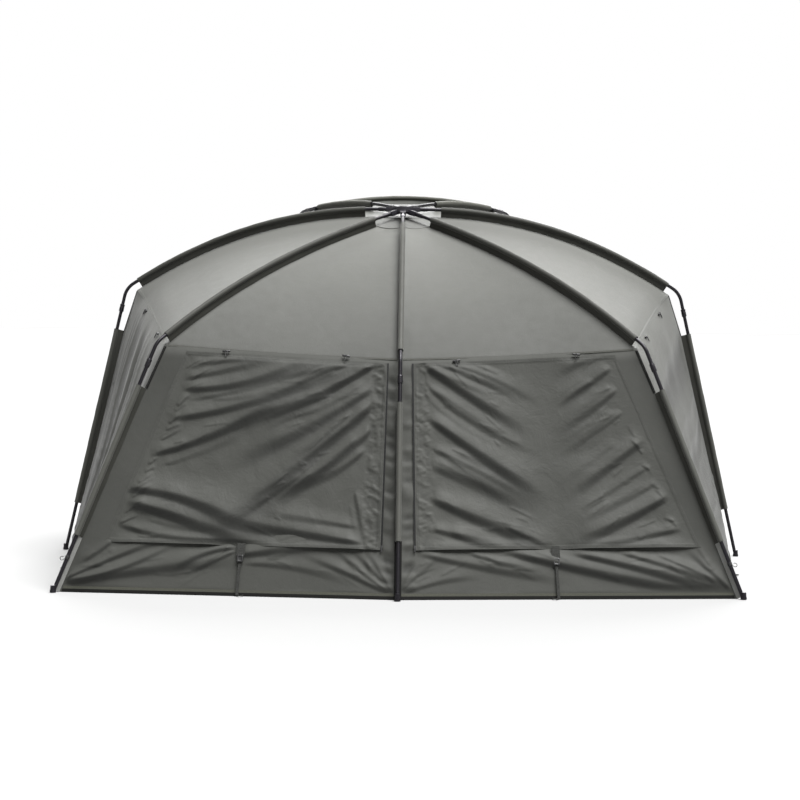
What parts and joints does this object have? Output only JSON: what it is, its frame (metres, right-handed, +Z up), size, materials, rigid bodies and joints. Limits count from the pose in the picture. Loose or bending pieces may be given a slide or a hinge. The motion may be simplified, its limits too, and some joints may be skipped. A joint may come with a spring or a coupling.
{
  "type": "fishing bivvy",
  "caption": "Dome-shaped angler's shelter with bent outside poles on a central hub, a canopy hung under them, storm covers on the rear windows and an open front doorway.",
  "frame": {"origin": "middle of the footprint's box, on the ground", "axes": "+X to the right as seen from behind, along the widest way; +Y from the rear to the front door; +Z up, the shortest way"},
  "size_m": [3.274, 2.4799, 1.7604],
  "materials": {
    "poles": "dark satin anodised tube",
    "hub": "moulded black nylon",
    "crown": "lighter grey-green coated cloth",
    "roof": "grey-green coated nylon, single layer, light from above",
    "walls": "grey-green coated nylon",
    "covers": "grey-green coated nylon, creased",
    "sleeves": "dark olive woven nylon",
    "mesh": "fine black insect mesh",
    "webbing": "flat black webbing"
  },
  "bodies": {
    "root": {"hub": "hub", "crown_patch": "crown", "rear_middle_roof_pole": "poles", "rear_middle_leg": "poles", "rear_middle_roof_sleeve": "sleeves", "rear_middle_leg_sleeve": "sleeves", "rear_left_roof_pole": "poles", "rear_left_leg": "poles", "rear_left_roof_sleeve": "sleeves", "rear_left_leg_sleeve": "sleeves", "rear_right_roof_pole": "poles", "rear_right_leg": "poles", "rear_right_roof_sleeve": "sleeves", "rear_right_leg_sleeve": "sleeves", "side_left_roof_pole": "poles", "side_left_leg": "poles", "side_left_roof_sleeve": "sleeves", "side_left_leg_sleeve": "sleeves", "side_right_roof_pole": "poles", "side_right_leg": "poles", "side_right_roof_sleeve": "sleeves", "side_right_leg_sleeve": "sleeves", "front_left_roof_pole": "poles", "front_left_leg": "poles", "front_left_roof_sleeve": "sleeves", "front_left_leg_sleeve": "sleeves", "front_right_roof_pole": "poles", "front_right_leg": "poles", "front_right_roof_sleeve": "sleeves", "front_right_leg_sleeve": "sleeves", "brow_pole": "poles", "brow_sleeve": "sleeves", "rear_left_roof_panel": "roof", "rear_right_roof_panel": "roof", "side_left_roof_panel": "roof", "side_right_roof_panel": "roof", "front_left_roof_panel": "roof", "front_right_roof_panel": "roof", "front_roof_panel": "roof", "rear_left_wall": "walls", "rear_right_wall": "walls", "side_left_wall": "walls", "side_right_wall": "walls", "front_left_wall": "walls", "front_right_wall": "walls", "front_wall_left": "walls", "front_wall_right": "walls", "front_wall_head": "walls", "rear_left_window_mesh": "mesh", "rear_right_window_mesh": "mesh", "rear_left_window_cover": "covers", "rear_right_window_cover": "covers", "rolled_front_door": "walls", "rear_left_strap": "webbing", "rear_right_strap": "webbing"}
  },
  "joints": []
}
